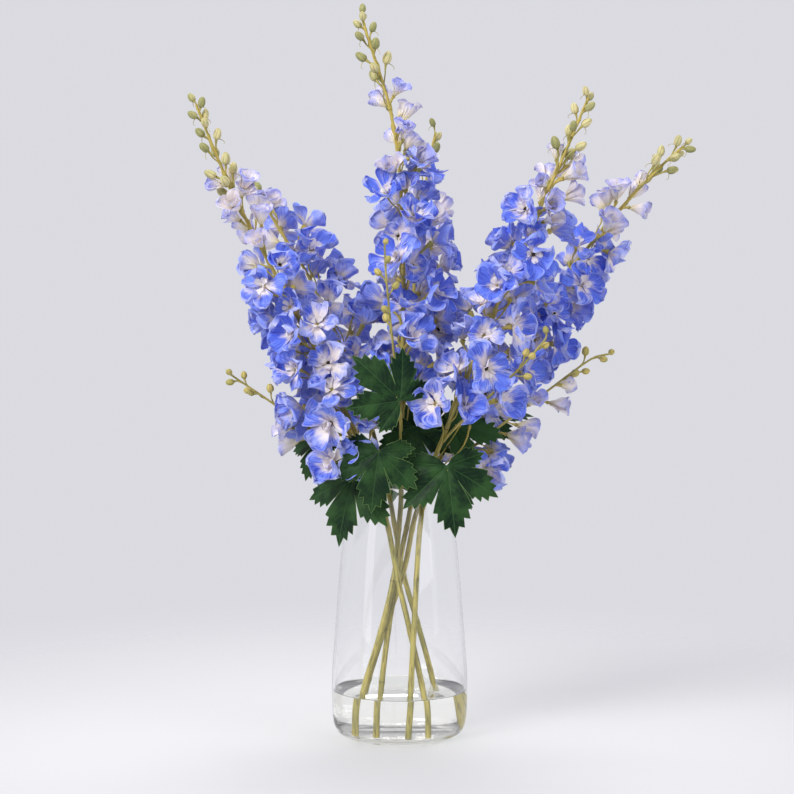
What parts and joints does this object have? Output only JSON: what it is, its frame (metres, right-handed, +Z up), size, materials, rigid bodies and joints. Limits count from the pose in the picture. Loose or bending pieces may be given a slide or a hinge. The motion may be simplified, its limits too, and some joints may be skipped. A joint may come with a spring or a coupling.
{
  "type": "delphinium in vase",
  "caption": "Tall cut delphinium spikes in blue, with pale half-open florets, green buds and toothed leaves, standing in a tapered clear glass vase with a little water.",
  "frame": {"origin": "centre of the flat underside of the vase, on the surface that it stands on", "axes": "+Z up along the vase's axis to the top of the tallest spike; the camera of the picture looks along +Y, with +X to its right"},
  "size_m": [0.5854, 0.2579, 0.8516],
  "materials": {
    "glass": "clear, polished",
    "water": "clear, still",
    "stem": "olive green, matt, faintly ribbed",
    "leaf": "dark green, satin, veined",
    "pale_petal": "white to lilac, matt, finely streaked",
    "blue_petal": "periwinkle blue, matt, finely streaked"
  },
  "bodies": {
    "root": {"vase": "glass", "water": "water", "stem_left_front": "stem", "stem_left_back": "stem", "stem_centre_front": "stem", "stem_centre_back": "stem", "stem_right_front": "stem", "stem_right_back": "stem", "leaf_01": "leaf", "leaf_02": "leaf", "leaf_03": "leaf", "leaf_04": "leaf", "leaf_05": "leaf", "leaf_06": "leaf", "leaf_07": "leaf", "leaf_08": "leaf", "leaf_09": "leaf", "leaf_10": "leaf", "leaf_11": "leaf", "leaf_12": "leaf", "pale_florets_left_front": "pale_petal", "pale_florets_left_back": "pale_petal", "pale_florets_centre_front": "pale_petal", "pale_florets_centre_back": "pale_petal", "pale_florets_right_front": "pale_petal", "pale_florets_right_back": "pale_petal", "pale_florets_low_left_front": "pale_petal", "pale_florets_low_right_back": "pale_petal", "blue_florets_left_front": "blue_petal", "blue_florets_left_back": "blue_petal", "blue_florets_centre_front": "blue_petal", "blue_florets_centre_back": "blue_petal", "blue_florets_right_front": "blue_petal", "blue_florets_right_back": "blue_petal", "blue_florets_low_right_back": "blue_petal"}
  },
  "joints": []
}
